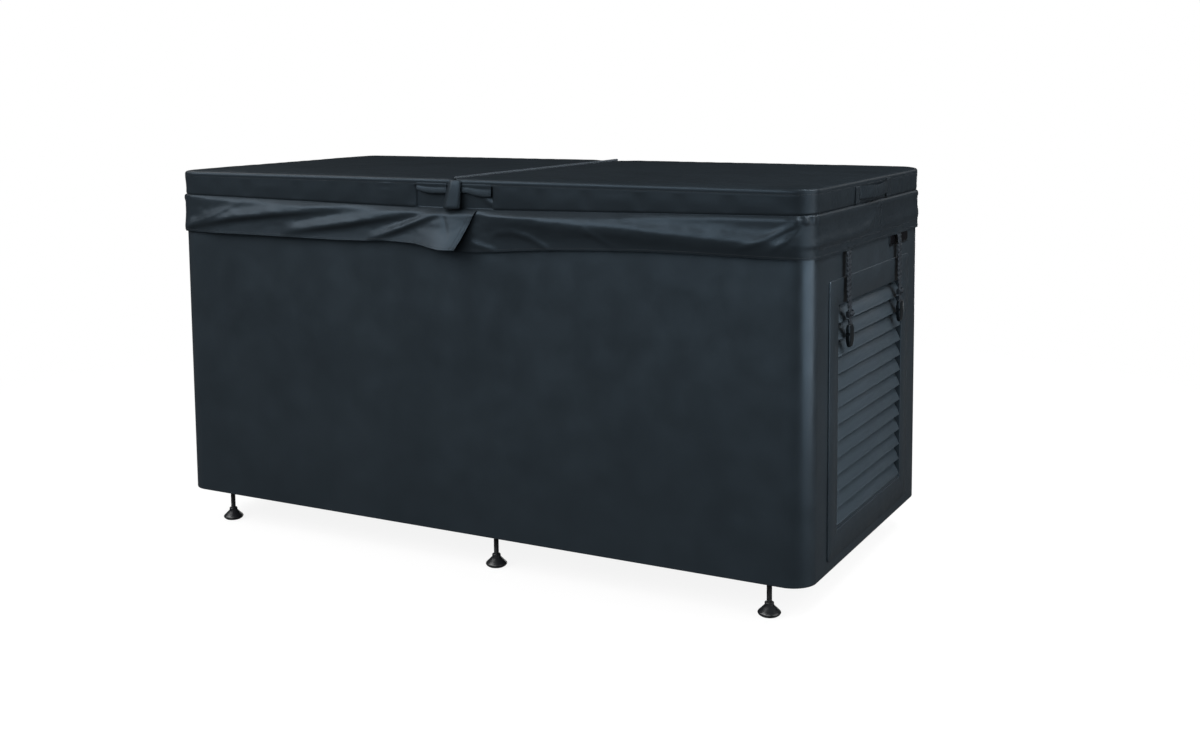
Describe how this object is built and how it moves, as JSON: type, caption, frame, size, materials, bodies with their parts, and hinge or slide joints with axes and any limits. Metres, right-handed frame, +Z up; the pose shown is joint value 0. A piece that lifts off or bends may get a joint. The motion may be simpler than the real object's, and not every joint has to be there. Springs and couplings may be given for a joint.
{
  "type": "cold plunge tub",
  "caption": "Free-standing cold plunge tub: round-cornered cabinet on levelling feet, folding padded cover with skirts and straps, louvred chiller bay at one end.",
  "frame": {"origin": "on the floor, under the centre of the tub", "axes": "+X along the length towards the louvred end, +Y towards the back, +Z up"},
  "size_m": [1.7336, 0.8439, 0.915],
  "materials": {
    "cabinet_panel": "charcoal, fine orange-peel texture, satin",
    "vinyl": "charcoal marine vinyl with fine grain and thread stitching",
    "black_plastic": "moulded black, light texture",
    "black_glass": "polished black touch panel, blank",
    "webbing": "woven dark grey webbing",
    "rubber": "black rubber",
    "acrylic": "white glossy acrylic",
    "foam": "cream sprayed foam",
    "steel": "zinc-plated steel",
    "cast_black": "black paint on metal",
    "grey_plastic": "moulded grey"
  },
  "bodies": {
    "cabinet": {"cabinet_shell": "cabinet_panel", "base_pan": "black_plastic", "base_frame": "steel", "basin": "acrylic", "basin_insulation": "foam", "bulkhead": "grey_plastic", "suction_strainer": "grey_plastic", "return_jet": "grey_plastic", "vent_frame": "cabinet_panel", "vent_slat_01": "cabinet_panel", "vent_slat_02": "cabinet_panel", "vent_slat_03": "cabinet_panel", "vent_slat_04": "cabinet_panel", "vent_slat_05": "cabinet_panel", "vent_slat_06": "cabinet_panel", "vent_slat_07": "cabinet_panel", "vent_slat_08": "cabinet_panel", "vent_slat_09": "cabinet_panel", "vent_slat_10": "cabinet_panel", "vent_slat_11": "cabinet_panel", "vent_slat_12": "cabinet_panel", "vent_slat_13": "cabinet_panel", "control_housing": "black_plastic", "control_glass": "black_glass", "condenser_coil": "steel", "fan_shroud": "cast_black", "compressor": "cast_black", "heat_exchanger": "steel", "circulation_pump": "cast_black", "filter_housing": "grey_plastic", "suction_hose": "rubber", "return_hose": "rubber", "drain_valve": "grey_plastic", "power_inlet": "black_plastic"},
    "cover_left": {"cover_left_pad": "vinyl", "cover_left_skirt": "vinyl", "fold_welt": "vinyl", "fold_loop": "vinyl", "fold_band_left": "vinyl", "cover_left_handle": "vinyl"},
    "cover_right": {"cover_right_pad": "vinyl", "cover_right_skirt": "vinyl", "fold_band_right": "vinyl", "cover_right_handle": "vinyl"},
    "right_front_strap": {"strap_right_front": "webbing", "buckle_right_front": "black_plastic"},
    "right_back_strap": {"strap_right_back": "webbing", "buckle_right_back": "black_plastic"},
    "left_front_strap": {"strap_left_front": "webbing", "buckle_left_front": "black_plastic"},
    "left_back_strap": {"strap_left_back": "webbing", "buckle_left_back": "black_plastic"},
    "foot_1": {"foot_1": "rubber"},
    "foot_2": {"foot_2": "rubber"},
    "foot_3": {"foot_3": "rubber"},
    "foot_4": {"foot_4": "rubber"},
    "foot_5": {"foot_5": "rubber"},
    "foot_6": {"foot_6": "rubber"},
    "fan": {"fan_rotor": "black_plastic"},
    "drain_knob": {"drain_knob": "black_plastic"}
  },
  "joints": [
    {"name": "cover_lift", "type": "slide", "parent": "cabinet", "child": "cover_left", "axis": [0, 0, 1], "range_m": [0, 0.35]},
    {"name": "cover_fold", "type": "hinge", "parent": "cover_left", "child": "cover_right", "pos_m": [0, 0, 0.9113], "axis": [0, -1, 0], "range_deg": [0, 170]},
    {"name": "right_front_strap_swing", "type": "hinge", "parent": "cover_right", "child": "right_front_strap", "pos_m": [0.8605, -0.185, 0.7641], "axis": [0, -1, 0], "range_deg": [0, 150]},
    {"name": "right_back_strap_swing", "type": "hinge", "parent": "cover_right", "child": "right_back_strap", "pos_m": [0.8605, 0.185, 0.7641], "axis": [0, -1, 0], "range_deg": [0, 150]},
    {"name": "left_front_strap_swing", "type": "hinge", "parent": "cover_left", "child": "left_front_strap", "pos_m": [-0.8605, -0.185, 0.7571], "axis": [0, 1, 0], "range_deg": [0, 150]},
    {"name": "left_back_strap_swing", "type": "hinge", "parent": "cover_left", "child": "left_back_strap", "pos_m": [-0.8605, 0.185, 0.7571], "axis": [0, 1, 0], "range_deg": [0, 150]},
    {"name": "foot_1_level", "type": "slide", "parent": "cabinet", "child": "foot_1", "axis": [0, 0, -1], "range_m": [0, 0.02]},
    {"name": "foot_2_level", "type": "slide", "parent": "cabinet", "child": "foot_2", "axis": [0, 0, -1], "range_m": [0, 0.02]},
    {"name": "foot_3_level", "type": "slide", "parent": "cabinet", "child": "foot_3", "axis": [0, 0, -1], "range_m": [0, 0.02]},
    {"name": "foot_4_level", "type": "slide", "parent": "cabinet", "child": "foot_4", "axis": [0, 0, -1], "range_m": [0, 0.02]},
    {"name": "foot_5_level", "type": "slide", "parent": "cabinet", "child": "foot_5", "axis": [0, 0, -1], "range_m": [0, 0.02]},
    {"name": "foot_6_level", "type": "slide", "parent": "cabinet", "child": "foot_6", "axis": [0, 0, -1], "range_m": [0, 0.02]},
    {"name": "fan_spin", "type": "hinge", "parent": "cabinet", "child": "fan", "pos_m": [0.7593, 0, 0.3426], "axis": [1, 0, 0], "continuous": true},
    {"name": "drain_turn", "type": "hinge", "parent": "cabinet", "child": "drain_knob", "pos_m": [-0.6, 0.4067, 0.2501], "axis": [0, 1, 0], "range_deg": [0, 90]}
  ]
}
